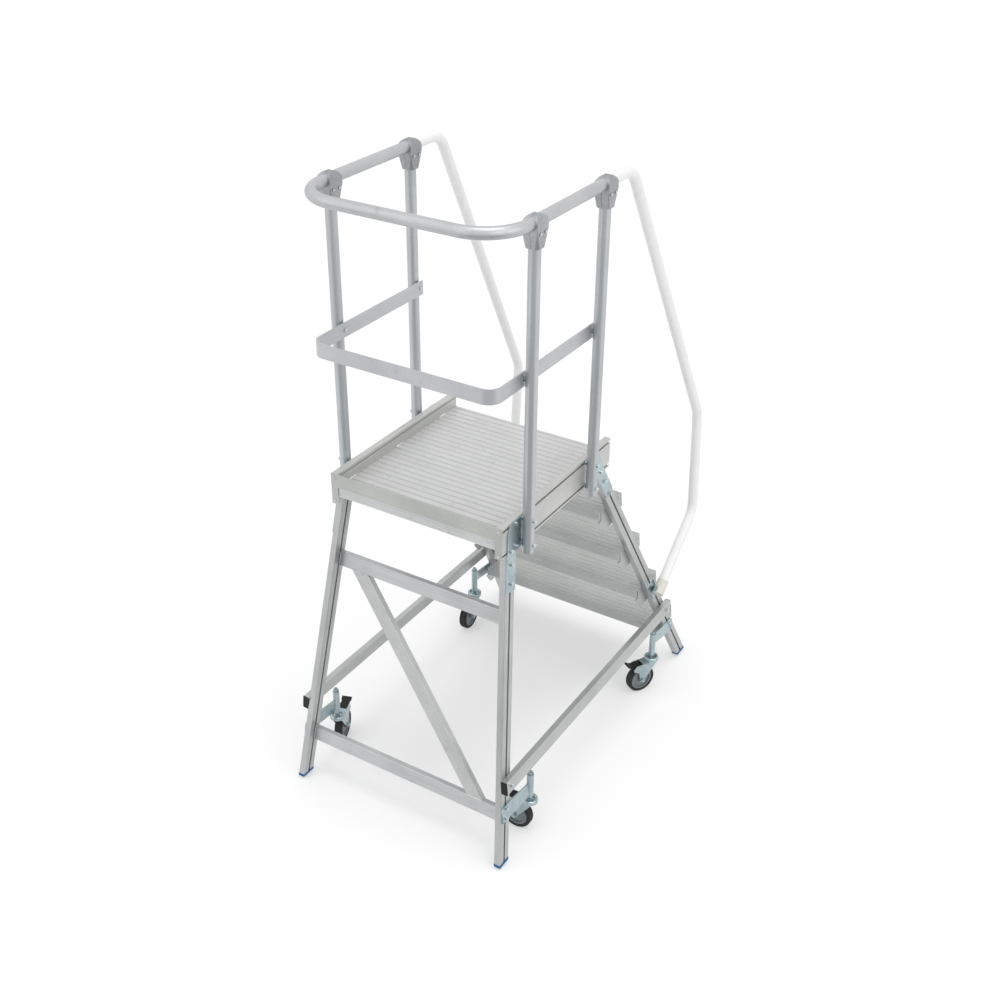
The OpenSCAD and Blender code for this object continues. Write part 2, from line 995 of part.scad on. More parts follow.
module handrail(left) {
    color("#F4F4F2")
        flip(left)
            hand_plane()
                bent_tube(hand_ease, hand_bend, hand_runs, hand_turns);
}

// Frame at the lower handrail end, with +X back up the tube.
module hand_foot() {
    hand_plane()
        translate([hand_y_d - hand_y_start, -hand_v_d, 0])
            rotate([0, 0, 90 - hand_turn_c])
                children();
}

module handrail_sockets() {
    color("#D9D3BF")
        both()
            hand_foot()
                difference() {
                    rod_x(socket_r, -socket_tail, socket_l - socket_tail);
                    rod_x(tube_r + fit, -0.2, socket_l);
                }
}

clip_w = 24;
clip_bolt_gap = 34;
clip_len = 2 * clip_bolt_gap + 24;

module clip_bolts_at() {
    for (s = [-1, 1])
        side_plane()
            translate([0, stile_mid_y(hand_foot_z), slant(hand_foot_z)])
                rotate([stile_a, 0, 0])
                    translate([0, 0, s * clip_bolt_gap])
                        children();
}

module hand_clip() {
    difference() {
        union() {
            side_plane()
                translate([0, stile_mid_y(hand_foot_z), slant(hand_foot_z)])
                    rotate([stile_a, 0, 0])
                        translate([0, -leg_w * 0.42, -clip_len / 2])
                            cube([plate_t, leg_w * 0.84, clip_len]);
            intersection() {
                hand_foot() rod_x(clip_r, -clip_w / 2, clip_w / 2);
                side_plane()
                    translate([0, -big / 2, 0])
                        cube([hand_off, big, side_l]);
            }
        }
        hand_foot() rod_x(socket_r + fit, -clip_w, clip_w);
        side_plane()
            translate([-leg_t, -big / 2, 0])
                cube([leg_t, big, side_l]);
        clip_bolts_at() bolt_hole(plate_t);
    }
}

// Corner plates
plate_drop = 132;
plate_up = rail_h - 4;
plate_edge = 14;
front_plate_y = leg_y(rail_bot) + 3;
front_plate_w = y_up_front + plate_edge - front_plate_y;
rear_plate_y = stile_y(rail_bot) + 3;
rear_plate_w = stile_run - 6;
leg_bolt_in = 38;
leg_bolt_pitch = 68;
leg_bolt_z = [rail_bot - leg_bolt_in, rail_bot - leg_bolt_in - leg_bolt_pitch];

module plate_leg(run) {
    translate([0, 2, run - plate_drop])
        cube([plate_t, leg_w - 4, 2 * plate_drop]);
}

// Upper part of a plate on a side rail, leaning by slope as it rises, with its forward corner cut.
module rail_plate(y, w, slope) {
    lean = slope * plate_up;
    translate([rail_half, y, rail_bot])
        rotate([90, 0, 90])
            linear_extrude(plate_t)
                polygon([
                    [0, 0], [w, 0], [w - lean, plate_up], [plate_edge - lean, plate_up],
                    [-lean * 0.7, plate_up * 0.7]
                ]);
}

module front_plate_bolts_at() {
    for (x = [0.2, 0.55])
        translate([rail_half, front_plate_y + x * front_plate_w, slot_z_low])
            children();
    translate([rail_half, front_plate_y + 0.45 * front_plate_w, slot_z_high])
        children();
    for (z = leg_bolt_z)
        side_plane()
            translate([0, leg_mid_y(z), slant(z)])
                rotate([-leg_a, 0, 0])
                    children();
}

module rear_plate_bolts_at() {
    for (z = [slot_z_low, slot_z_high])
        translate([rail_half, rear_plate_y + rear_plate_w / 2 - stair_slope * (z - rail_bot), z])
            children();
    for (z = leg_bolt_z)
        side_plane()
            translate([0, stile_mid_y(z), slant(z)])
                rotate([stile_a, 0, 0])
                    children();
}

module front_plate() {
    difference() {
        union() {
            rail_plate(front_plate_y, front_plate_w, 0);
            intersection() {
                leg_axis() plate_leg(side_l / cos(leg_a));
                slab(0, rail_bot);
            }
        }
        front_plate_bolts_at() bolt_hole(plate_t);
        rail_bolts_at(y_up_front) bolt_hole(plate_t);
    }
}

module rear_plate() {
    difference() {
        union() {
            rail_plate(rear_plate_y, rear_plate_w, stair_slope);
            intersection() {
                stile_axis() plate_leg(side_l / cos(stile_a));
                slab(0, rail_bot);
            }
        }
        rear_plate_bolts_at() bolt_hole(plate_t);
    }
}

module bracket_plates() {
    color("#A9B4C4")
        both() {
            front_plate();
            rear_plate();
            hand_clip();
        }
}

module spacers() {
    color("#B4BAC2")
        both()
            for (y = [y_up_front, y_up_rear]) {
                rail_bolts_at(y)
                    difference() {
                        rod_x(washer_r, y == y_up_front ? plate_t : 0, spacer_l);
                        bolt_hole(spacer_l);
                    }
                knee_bolt_at(y)
                    difference() {
                        rod_x(washer_r, -knee_gap, 0);
                        rod_x(bolt_r + bolt_fit, -knee_gap - 1, 1);
                    }
            }
}

module knee_bolt() {
    face = -knee_gap - knee_t;
    rod_x(bolt_r, face - 1, tube_wall + 8);
    rod_x(washer_r, face - 2.4, face);
    rod_x(washer_r * 0.7, face - 4, face - 2);
}

module clamp_bolt() {
    rod_x(clamp_bolt_r, -clamp_seat - 1, clamp_seat + 1);
    rod_x(clamp_head_r, clamp_seat, clamp_seat + clamp_head_h);
    translate([-clamp_seat - clamp_head_h, 0, 0])
        hex_head(clamp_head_r, clamp_head_h);
}

module toe_screw() {
    rod_x(screw_r, 0, toe_t + 0.5);
    rod_x(4.4, toe_t, toe_t + 2);
}

module bolts() {
    color("#AEB6C0") {
        toe_screws_at() toe_screw();
        both() {
            for (y = [y_up_front, y_up_rear]) {
                rail_bolts_at(y) slot_bolt(spacer_l + tube_d);
                knee_bolt_at(y) knee_bolt();
                clamp_bolts_at(y) clamp_bolt();
            }
            front_plate_bolts_at() slot_bolt(plate_t);
            rear_plate_bolts_at() slot_bolt(plate_t);
            clip_bolts_at() slot_bolt(plate_t);
            side_bar_bolts_at() slot_bolt(bar_t);
            arm_bolts_at(true) slot_bolt(arm_t);
            arm_bolts_at(false) slot_bolt(arm_t);
            for (n = [1 : tread_count])
                gusset_bolts_at(n) slot_bolt(gusset_t + seat_gap);
        }
    }
}

// Castor arms, drawn for the right side
module arm_bolts_at(front) {
    pitch = front ? arm_pitch_front : arm_pitch_rear;
    for (z = [arm_bolt_mid - pitch / 2, arm_bolt_mid + pitch / 2])
        side_plane()
            translate([0, front ? leg_mid_y(z) : stile_mid_y(z), slant(z)])
                rotate([front ? -leg_a : stile_a, 0, 0])
                    children();
}

module arm_outline(front) {
    y_leg = front ? leg_mid_y(arm_bolt_mid) : stile_mid_y(arm_bolt_mid);
    y_tube = front ? castor_y_front : castor_y_rear;
    s = front ? 1 : -1;
    reach = (front ? arm_pitch_front : arm_pitch_rear) / 2 + arm_edge;
    low = slant(front ? tube_low + arm_edge : tube_high - 4.6 * arm_edge);
    high = slant(tube_high - (front ? 3 : 1) * arm_edge);
    bottom = slant(arm_bolt_mid - reach);
    top = slant(arm_bolt_mid + reach);
    polygon([
        [y_leg - s * arm_half, bottom], [y_leg + s * arm_half, bottom], [y_tube, low], [y_tube, high],
        [y_leg + s * arm_half, top], [y_leg - s * arm_edge, top], [y_leg - s * arm_half, top - arm_edge]
    ]);
}

module castor_arm(front) {
    y_tube = front ? castor_y_front : castor_y_rear;
    color("#B7BDC4")
        difference() {
            union() {
                side_plane()
                    rotate([90, 0, 90])
                        linear_extrude(arm_t)
                            arm_outline(front);
                translate([castor_x, y_tube, tube_low])
                    cylinder(r = spring_tube_d / 2, h = tube_l);
            }
            translate([castor_x, y_tube, tube_low - 1])
                cylinder(r = stem_r + run_fit, h = bush_l + 2);
            translate([castor_x, y_tube, tube_low + bush_l])
                cylinder(r = tube_bore_r, h = tube_l - bush_l - top_t);
            translate([castor_x, y_tube, tube_high - top_t - 1])
                cylinder(r = rod_r + run_fit, h = top_t + 2);
            arm_bolts_at(front) bolt_hole(arm_t);
        }
}

module castor_at(left, front, rest) {
    translate([left ? -castor_x : castor_x, front ? castor_y_front : castor_y_rear, 0])
        rotate([0, 0, rest])
            children();
}

// Castor parts, drawn with the swivel axis at the origin and the wheel trailing along +X.
module stem_part() {
    color("#B4BAC2") {
        translate([0, 0, floor_z - swivel_gap - 7])
            cylinder(r = 9.5, h = 7, $fn = 6);
        translate([0, 0, floor_z - 2])
            cylinder(r = pin_r, h = floor_t + 4);
        translate([0, 0, disc_z])
            cylinder(r = disc_r, h = disc_t);
        translate([0, 0, disc_z])
            cylinder(r = stem_r, h = seat_z - disc_z);
        translate([0, 0, seat_z - seat_t])
            cylinder(r = seat_r, h = seat_t);
        translate([0, 0, seat_z - 1])
            cylinder(r = rod_r, h = tube_high - seat_z + 16);
        translate([0, 0, tube_high + nut_gap])
            cylinder(r = 10, h = 1.8);
        translate([0, 0, tube_high + nut_gap + 1.5])
            cylinder(r = 9.2, h = 9, $fn = 6);
    }
}

spring_wire = 1.2;
spring_r = rod_r + 2.6;
spring_low = seat_z + 0.2;
spring_high = tube_high - top_t - 0.2;
spring_turns = 6;
spring_rings = 8 * spring_turns;
spring_pitch = (spring_high - spring_low - 2 * spring_wire) / spring_turns;
spring_gap = spring_pitch - 2 * spring_wire;
echo(spring_gap = spring_gap);

function helix(t) = [
    spring_r * cos(360 * t), spring_r * sin(360 * t), spring_low + spring_wire + spring_pitch * t
];
function helix_ring(t) = [
    for (k = [0 : 5])
        let (a = 60 * k, r = spring_r + spring_wire * cos(a))
            [r * cos(360 * t), r * sin(360 * t), helix(t)[2] + spring_wire * sin(a)]
];

module spring_part() {
    points = [for (i = [0 : spring_rings]) each helix_ring(i / 8)];
    sides = [
        for (i = [0 : spring_rings - 1], k = [0 : 5], h = [0, 1])
            let (a = 6 * i + k, b = 6 * i + (k + 1) % 6)
                h == 0 ? [a, b, b + 6] : [a, b + 6, a + 6]
    ];
    start = [[for (k = [0 : 5]) 5 - k]];
    end = [[for (k = [0 : 5]) 6 * spring_rings + k]];
    color("#8A9098")
        polyhedron(points = points, faces = concat(sides, start, end));
}

module fork_plate() {
    difference() {
        union() {
            polygon([
                [-18, floor_z], [8, wheel_r + 42], [trail - 12, wheel_r], [trail + 12, wheel_r],
                [trail + 18, wheel_r + 38], [trail + 44, wheel_r + 54], [trail + 46, wheel_r + 63],
                [trail + 32, pedal_z + 6], [26, floor_z], [18, floor_z + 6], [-18, floor_z + 6]
            ]);
            translate([trail, wheel_r])
                circle(r = 12);
        }
        translate([trail, wheel_r])
            circle(r = axle_r + run_fit);
        translate([pedal_t, pedal_z])
            circle(r = pedal_pin_r + run_fit);
    }
}

module fork_part() {
    color("#B4BAC2")
        difference() {
            union() {
                rotate_extrude() {
                    translate([pin_r + run_fit, floor_z])
                        square([recess_r - pin_r, floor_t]);
                    translate([recess_r, floor_z])
                        square([head_r_out - recess_r, head_top - floor_z - 6]);
                    translate([(recess_r + head_r_out) / 2, head_top - 6.25])
                        circle(r = (head_r_out - recess_r) / 2);
                }
                for (y = [-fork_half - fork_t, fork_half])
                    translate([0, y + fork_t, 0])
                        rotate([90, 0, 0])
                            linear_extrude(fork_t)
                                fork_plate();
                translate([recess_r, -fork_half - fork_t / 2, floor_z - 4])
                    cube([trail - recess_r, 2 * fork_half + fork_t, 4]);
            }
            translate([0, 0, floor_z + floor_t])
                cylinder(r = recess_r, h = head_top);
        }
    color("#9AA2AB")
        translate([trail, 0, wheel_r])
            rotate([90, 0, 0])
                axle_bolt();
}

module axle_bolt() {
    half = fork_half + fork_t + fit;
    translate([0, 0, -half - 1])
        cylinder(r = axle_r, h = 2 * half + 2);
    translate([0, 0, half])
        cylinder(r = 9.4, h = 6.4, $fn = 6);
    translate([0, 0, -half - 8])
        cylinder(r = 9.4, h = 8, $fn = 6);
}

tyre_t = 13.75;
tyre_in_r = wheel_r - tyre_t;
tyre_fit = 0.3;

module tyre_part() {
    round_r = 7;
    color("#4A4B4D")
        translate([trail, 0, wheel_r])
            rotate([90, 0, 0])
                rotate_extrude() {
                    translate([tyre_in_r, -wheel_w / 2])
                        square([wheel_r - round_r - tyre_in_r, wheel_w]);
                    translate([tyre_in_r, -wheel_w / 2 + round_r])
                        square([wheel_r - tyre_in_r, wheel_w - 2 * round_r]);
                    for (s = [-1, 1])
                        translate([wheel_r - round_r, s * (wheel_w / 2 - round_r)])
                            circle(r = round_r);
                }
}

module hub_part() {
    half = wheel_w / 2 - 2;
    boss = fork_half - 0.3;
    color("#9C9FA3")
        translate([trail, 0, wheel_r])
            rotate([90, 0, 0])
                rotate_extrude() {
                    translate([axle_r + run_fit, -boss])
                        square([8, 2 * boss]);
                    translate([axle_r + 6, -half + 5])
                        square([tyre_in_r - axle_r - 8, 2 * half - 10]);
                    translate([tyre_in_r - 9, -half])
                        square([9 - tyre_fit, 2 * half]);
                }
}

module pedal_outline() {
    circle(r = 5.4);
    polygon([
        [-4, -3.6], [0, -5.4], [4, -9], [8, -9], [34, -5], [41, -1], [58, 9], [60, 13],
        [57, 15.5], [36, 8], [10, 7], [-2, 5]
    ]);
}

module pedal_part() {
    inner = fork_half - 2.5;
    color("#232427")
        translate([pedal_t, 0, pedal_z]) {
            rotate([90, 0, 0]) {
                translate([0, 0, -inner])
                    linear_extrude(2 * inner)
                        pedal_outline();
                translate([0, 0, -fork_half - fork_t])
                    cylinder(r = pedal_pin_r, h = 2 * fork_half + 2 * fork_t);
            }
            translate([48, 0, 9.5])
                rotate([0, -30, 0])
                    translate([-7, -20, -3])
                        cube([17, 40, 6]);
        }
}

front_leg(true);  // front_leg_left
front_leg(false);  // front_leg_right
stair_stile(true);  // stair_stile_left
stair_stile(false);  // stair_stile_right
foot_caps();
upper_brace();
lower_brace();
diagonal_brace();
side_bar(true);  // side_bar_left
side_bar(false);  // side_bar_right
bar_end_caps();
side_rail(true);  // side_rail_left
side_rail(false);  // side_rail_right
toe_board();
deck_beams();
deck_planks();
tread(1);  // tread_1
tread(2);  // tread_2
tread(3);  // tread_3
tread(4);  // tread_4
tread_gussets();
front_uprights();
rear_uprights();
top_rail();
knee_rail();
rail_clamps();
handrail(true);  // handrail_left
handrail(false);  // handrail_right
handrail_sockets();
bracket_plates();
spacers();
bolts();
mirror([1, 0, 0]) castor_arm(true);  // arm_fl
castor_at(true, true, rest_fl) stem_part();  // stem_fl
castor_at(true, true, rest_fl) spring_part();  // spring_fl
castor_at(true, true, rest_fl) fork_part();  // fork_fl
castor_at(true, true, rest_fl) tyre_part();  // tyre_fl
castor_at(true, true, rest_fl) hub_part();  // hub_fl
castor_at(true, true, rest_fl) pedal_part();  // pedal_fl
castor_arm(true);  // arm_fr
castor_at(false, true, rest_fr) stem_part();  // stem_fr
castor_at(false, true, rest_fr) spring_part();  // spring_fr
castor_at(false, true, rest_fr) fork_part();  // fork_fr
castor_at(false, true, rest_fr) tyre_part();  // tyre_fr
castor_at(false, true, rest_fr) hub_part();  // hub_fr
castor_at(false, true, rest_fr) pedal_part();  // pedal_fr
mirror([1, 0, 0]) castor_arm(false);  // arm_rl
castor_at(true, false, rest_rl) stem_part();  // stem_rl
castor_at(true, false, rest_rl) spring_part();  // spring_rl
castor_at(true, false, rest_rl) fork_part();  // fork_rl
castor_at(true, false, rest_rl) tyre_part();  // tyre_rl
castor_at(true, false, rest_rl) hub_part();  // hub_rl
castor_at(true, false, rest_rl) pedal_part();  // pedal_rl
castor_arm(false);  // arm_rr
castor_at(false, false, rest_rr) stem_part();  // stem_rr
castor_at(false, false, rest_rr) spring_part();  // spring_rr
castor_at(false, false, rest_rr) fork_part();  // fork_rr
castor_at(false, false, rest_rr) tyre_part();  // tyre_rr
castor_at(false, false, rest_rr) hub_part();  // hub_rr
castor_at(false, false, rest_rr) pedal_part();  // pedal_rr
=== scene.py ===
import math

import bmesh
import bpy
from mathutils import Matrix, Vector


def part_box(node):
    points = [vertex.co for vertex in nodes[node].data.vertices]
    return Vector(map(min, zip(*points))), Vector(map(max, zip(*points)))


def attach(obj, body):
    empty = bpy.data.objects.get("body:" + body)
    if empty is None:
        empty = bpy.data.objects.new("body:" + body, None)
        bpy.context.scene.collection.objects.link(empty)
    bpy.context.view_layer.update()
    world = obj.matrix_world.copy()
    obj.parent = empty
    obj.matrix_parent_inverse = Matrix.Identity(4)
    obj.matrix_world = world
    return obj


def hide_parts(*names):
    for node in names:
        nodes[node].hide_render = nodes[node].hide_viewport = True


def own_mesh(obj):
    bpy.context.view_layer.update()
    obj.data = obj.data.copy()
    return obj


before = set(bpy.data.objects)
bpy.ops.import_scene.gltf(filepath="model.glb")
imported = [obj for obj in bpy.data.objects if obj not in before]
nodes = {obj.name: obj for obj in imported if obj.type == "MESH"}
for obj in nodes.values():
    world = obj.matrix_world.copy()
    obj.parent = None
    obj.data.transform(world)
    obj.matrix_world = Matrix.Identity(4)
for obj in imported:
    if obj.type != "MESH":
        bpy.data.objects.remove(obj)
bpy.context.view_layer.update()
scene = bpy.context.scene
scene.view_settings.view_transform = "Standard"

# Camera
# Stands before the guard end, a little to its right and well above the deck, as the photograph was taken.
# The lens and the place come from fitting the part's own edges to that view.
azimuth = math.radians(31.49)
elevation = math.radians(30.74)
roll = math.radians(0.53)
camera_place = Vector((2.2363, -3.70865, 3.5822))
lens_mm = 47.77
sensor_mm = 36.0
backward = Vector((
    math.sin(azimuth) * math.cos(elevation),
    -math.cos(azimuth) * math.cos(elevation),
    math.sin(elevation),
))
sideways = Vector((math.cos(azimuth), math.sin(azimuth), 0.0))
upward = backward.cross(sideways)
camera_right = sideways * math.cos(roll) + upward * math.sin(roll)
camera_up = upward * math.cos(roll) - sideways * math.sin(roll)
camera_turn = Matrix((camera_right, camera_up, backward)).transposed().to_4x4()
camera_data = bpy.data.cameras.new("photo_camera")
camera_data.sensor_width = sensor_mm
camera_data.lens = lens_mm
camera = bpy.data.objects.new("photo_camera", camera_data)
camera.matrix_world = Matrix.Translation(camera_place) @ camera_turn
scene.collection.objects.link(camera)
scene.camera = camera


# Studio
# A pale floor under even white light, a broad lamp overhead and weaker ones at the front left and right.
# The floor shows white to the camera and keeps the soft grey shadow under the part.
# A grey card lies on it before the part, seen only by reflections, and darkens the middle of round tube.
def linear(code):
    """An sRGB hex colour as linear red, green, blue and alpha."""
    parts = [int(code[i:i + 2], 16) / 255 for i in (1, 3, 5)]
    return [c / 12.92 if c <= 0.04045 else ((c + 0.055) / 1.055) ** 2.4 for c in parts] + [1.0]


def add(tree, kind, sockets=None, **settings):
    """Adds one node, sets its fields, and fills its sockets with values or links."""
    made = tree.nodes.new(kind)
    for name, value in settings.items():
        setattr(made, name, value)
    for name, value in (sockets or {}).items():
        if isinstance(value, bpy.types.NodeSocket):
            tree.links.new(value, made.inputs[name])
        else:
            made.inputs[name].default_value = value
    return made


def blank(name):
    """A material with an empty node tree."""
    made = bpy.data.materials.new(name)
    made.use_nodes = True
    made.node_tree.nodes.clear()
    return made


def seen_white(tree):
    """One for the rays that should meet a white studio, else zero."""
    path = add(tree, "ShaderNodeLightPath")
    mirror = add(tree, "ShaderNodeMath", operation="MAXIMUM", sockets={
        0: path.outputs["Is Camera Ray"], 1: path.outputs["Is Glossy Ray"]})
    both = add(tree, "ShaderNodeMath", operation="MAXIMUM", sockets={
        0: mirror.outputs[0], 1: path.outputs["Is Transmission Ray"]})
    return both.outputs[0]


def finished(bm, name, material):
    """Turns a bmesh into an object of one material, placed by its mesh."""
    mesh = bpy.data.meshes.new(name)
    bm.to_mesh(mesh)
    bm.free()
    mesh.materials.append(material)
    made = bpy.data.objects.new(name, mesh)
    scene.collection.objects.link(made)
    return made


sky_light = 0.7
sky_seen = 1.0
world = bpy.data.worlds.new("white_studio")
world.use_nodes = True
sky = world.node_tree
sky.nodes.clear()
soft = add(sky, "ShaderNodeBackground", {"Color": linear("#FFFFFF"), "Strength": sky_light})
white = add(sky, "ShaderNodeBackground", {"Color": linear("#FFFFFF"), "Strength": sky_seen})
sky_mix = add(sky, "ShaderNodeMixShader", {0: seen_white(sky), 1: soft.outputs[0], 2: white.outputs[0]})
add(sky, "ShaderNodeOutputWorld", {"Surface": sky_mix.outputs[0]})
scene.world = world

# Plain paper lights the part from below. To the camera it is lifted to white where no shadow falls.
floor_half = 30.0
floor_lift = 0.41
floor_mat = blank("studio_floor")
tree = floor_mat.node_tree
paper = add(tree, "ShaderNodeBsdfDiffuse", {"Color": linear("#E6E6E6")})
catcher = add(tree, "ShaderNodeBsdfDiffuse", {"Color": linear("#C1C1C1")})
glow = add(tree, "ShaderNodeEmission", {"Color": linear("#FFFFFF"), "Strength": floor_lift})
lifted = add(tree, "ShaderNodeAddShader", {0: catcher.outputs[0], 1: glow.outputs[0]})
floor_mix = add(tree, "ShaderNodeMixShader", {
    0: seen_white(tree), 1: paper.outputs[0], 2: lifted.outputs[0]})
add(tree, "ShaderNodeOutputMaterial", {"Surface": floor_mix.outputs[0]})
bm = bmesh.new()
bmesh.ops.create_grid(bm, x_segments=1, y_segments=1, size=floor_half)
floor = finished(bm, "studio_floor", floor_mat)

# The card widens with its distance from the part, so that it spans the same angle all along.
card_tone = 0.45
card_near = 1.3
card_far = 9.0
card_spread = 0.8
card_lift = 0.004
card_mat = blank("grey_card")
tree = card_mat.node_tree
card_glow = add(tree, "ShaderNodeEmission", {"Color": linear("#FFFFFF"), "Strength": card_tone})
add(tree, "ShaderNodeOutputMaterial", {"Surface": card_glow.outputs[0]})
bm = bmesh.new()
bm.faces.new([bm.verts.new((side * card_spread * away, -away, card_lift)) for side, away in (
    (-1, card_far), (1, card_far), (1, card_near), (-1, card_near))])
bmesh.ops.rotate(bm, cent=(0, 0, 0), matrix=Matrix.Rotation(azimuth, 3, "Z"), verts=bm.verts[:])
card = finished(bm, "grey_card", card_mat)
card.visible_camera = False
card.visible_diffuse = False
card.visible_transmission = False
card.visible_shadow = False

lamp_distance = 6.0
for lamp_name, lamp_from, strength, spread in (
        ("overhead_lamp", Vector((0.08, 0.02, 1.0)), 1.0, 34.0),
        ("front_lamp", Vector((-0.5, -0.75, 0.6)), 0.5, 70.0),
        ("right_lamp", Vector((0.9, -0.2, 0.4)), 0.75, 60.0)):
    lamp_data = bpy.data.lights.new(lamp_name, "SUN")
    lamp_data.energy = strength
    lamp_data.angle = math.radians(spread)
    lamp = bpy.data.objects.new(lamp_name, lamp_data)
    lamp.location = lamp_from * lamp_distance
    lamp.rotation_euler = lamp_from.to_track_quat("Z", "Y").to_euler()
    scene.collection.objects.link(lamp)


# Legs, stiles and side bars
# Mill-finish aluminium extrusions, sawn to length, the legs and stiles with T-slots in both wide faces.
# The die leaves faint lines along each bar, and handling leaves slightly duller patches.
def metal(name, base, dark, rough, axis, streak_mm, turned=(0.0, 0.0, 0.0), metallic=0.85, stretch=80.0,
          ribs=None):
    """Drawn, rolled or cast metal: faint streaks along one axis, a few duller patches and handling marks.

    A streak is as long as its width times stretch. ribs gives the spacing of ribs in metres, the middle
    of one rib along Y, a painted shade tint for upper faces, and the painted tone of the groove floors,
    where shade falls.
    In a Mix node of colours, sockets 6 and 7 are the two colours, and output 2 is their mixture.
    """
    made = blank(name)
    tree = made.node_tree
    place = add(tree, "ShaderNodeTexCoord").outputs["Object"]

    streak_width = streak_mm / 1000.0
    grain = [streak_width] * 3
    grain["XYZ".index(axis)] = streak_width * stretch
    along = add(tree, "ShaderNodeMapping", vector_type="TEXTURE", sockets={
        "Vector": place, "Rotation": turned, "Scale": grain})
    streak = add(tree, "ShaderNodeTexNoise", {"Vector": along.outputs[0], "Scale": 1.0, "Detail": 2.0})
    patch_mm = 140.0
    patch = add(tree, "ShaderNodeTexNoise", {"Vector": place, "Scale": 1000.0 / patch_mm, "Detail": 3.0})
    tone = add(tree, "ShaderNodeMath", operation="ADD", sockets={
        0: streak.outputs["Fac"], 1: patch.outputs["Fac"]})
    tone_low, tone_high = 0.7, 1.3
    brightness = add(tree, "ShaderNodeMapRange", {
        "Value": tone.outputs[0], "From Min": tone_low, "From Max": tone_high})
    colour = add(tree, "ShaderNodeMix", data_type="RGBA", sockets={
        0: brightness.outputs[0], 6: linear(dark), 7: linear(base)})

    rub_mm = 31.0
    rub_low, rub_high = 0.64, 0.8
    smudge_most = 0.35
    smudge_tone = "#6F7072"
    rub = add(tree, "ShaderNodeTexNoise", {
        "Vector": place, "Scale": 1000.0 / rub_mm, "Detail": 3.0, "Roughness": 0.6})
    smudge = add(tree, "ShaderNodeMapRange", {
        "Value": rub.outputs["Fac"], "From Min": rub_low, "From Max": rub_high, "To Max": smudge_most})
    colour = add(tree, "ShaderNodeMix", data_type="RGBA", sockets={
        0: smudge.outputs[0], 6: colour.outputs[2], 7: linear(smudge_tone)})

    if ribs:
        spacing, rib_middle, top_shade_tint, groove_shade_tone = ribs
        groove_from, groove_full = 0.6, 0.95
        upper_face = 0.9
        row = add(tree, "ShaderNodeMapping", vector_type="TEXTURE", sockets={
            "Vector": place, "Location": (0.0, rib_middle, 0.0)})
        # The wave texture repeats 10 / pi times in a metre at a scale of 1.
        wave = add(tree, "ShaderNodeTexWave", bands_direction="Y", sockets={
            "Vector": row.outputs[0], "Scale": math.pi / (10.0 * spacing)})
        groove = add(tree, "ShaderNodeMapRange", {
            "Value": wave.outputs["Fac"], "From Min": groove_from, "From Max": groove_full})
        normal = add(tree, "ShaderNodeTexCoord").outputs["Normal"]
        facing = add(tree, "ShaderNodeSeparateXYZ", {0: normal})
        level_top = add(tree, "ShaderNodeMath", operation="GREATER_THAN", sockets={
            0: facing.outputs["Z"], 1: upper_face})
        # Upper faces get a painted shade tint, then a painted tone on their groove floors where shade
        # falls.
        colour = add(tree, "ShaderNodeMix", data_type="RGBA", blend_type="MULTIPLY", sockets={
            0: level_top.outputs[0], 6: colour.outputs[2], 7: linear(top_shade_tint)})
        share = add(tree, "ShaderNodeMath", operation="MULTIPLY", sockets={
            0: groove.outputs[0], 1: level_top.outputs[0]})
        colour = add(tree, "ShaderNodeMix", data_type="RGBA", sockets={
            0: share.outputs[0], 6: colour.outputs[2], 7: linear(groove_shade_tone)})

    duller, shinier = 0.06, 0.04
    line_depth = 0.0003
    dull = add(tree, "ShaderNodeMapRange", {
        "Value": tone.outputs[0], "From Min": tone_low, "From Max": tone_high,
        "To Min": rough + duller, "To Max": rough - shinier})
    lines = add(tree, "ShaderNodeBump", {
        "Height": streak.outputs["Fac"], "Strength": 0.1, "Distance": line_depth})
    skin = add(tree, "ShaderNodeBsdfPrincipled", {
        "Base Color": colour.outputs[2], "Metallic": metallic, "Roughness": dull.outputs[0],
        "Normal": lines.outputs[0]})
    add(tree, "ShaderNodeOutputMaterial", {"Surface": skin.outputs[0]})
    return made


def dress(material, *names):
    """Gives CAD nodes one material."""
    for name in names:
        mesh = nodes[name].data
        mesh.materials.clear()
        mesh.materials.append(material)


# Real die lines are finer. These, and those of later sections, are as wide as they need to be to show.
die_line_mm = 4.0
leg_lean = (math.radians(-9.8), 0.0, 0.0)
stile_lean = (math.radians(29.1), 0.0, 0.0)
leg_metal = metal("mill_aluminium_leg", "#BCBEBE", "#ADAFAF", 0.38, "Z", die_line_mm, leg_lean)
stile_metal = metal("mill_aluminium_stile", "#BCBEBE", "#ADAFAF", 0.38, "Z", die_line_mm, stile_lean)
bar_metal = metal("mill_aluminium_bar", "#BDBFBE", "#AFB1B0", 0.38, "Y", die_line_mm)
dress(leg_metal, "front_leg_left", "front_leg_right")
dress(stile_metal, "stair_stile_left", "stair_stile_right")
dress(bar_metal, "side_bar_left", "side_bar_right")


# Braces
# Rectangular aluminium tube, cut to the splay of the legs and welded between them.
# Each brace has rippled beads along the front and top edges of its ends, the diagonal one at each end.
diagonal_lean = (0.0, math.radians(-41.0), 0.0)
brace_metal = metal("mill_aluminium_brace", "#C3C4C5", "#B3B4B6", 0.36, "X", die_line_mm)
diagonal_metal = metal("mill_aluminium_diagonal", "#C3C4C4", "#B5B7B6", 0.36, "Z", die_line_mm,
                       diagonal_lean)
dress(brace_metal, "upper_brace", "lower_brace")
dress(diagonal_metal, "diagonal_brace")

# Weld metal, left as it set: a little brighter than the tube round it and finely clouded.
weld_cloud_mm = 1.5
weld_metal = metal("aluminium_weld", "#D6D8D8", "#B4B6B6", 0.35, "Z", weld_cloud_mm, metallic=0.75)


def corner(name, toward):
    """The point of a node that lies furthest in a direction."""
    return max((v.co for v in nodes[name].data.vertices), key=Vector(toward).dot).copy()


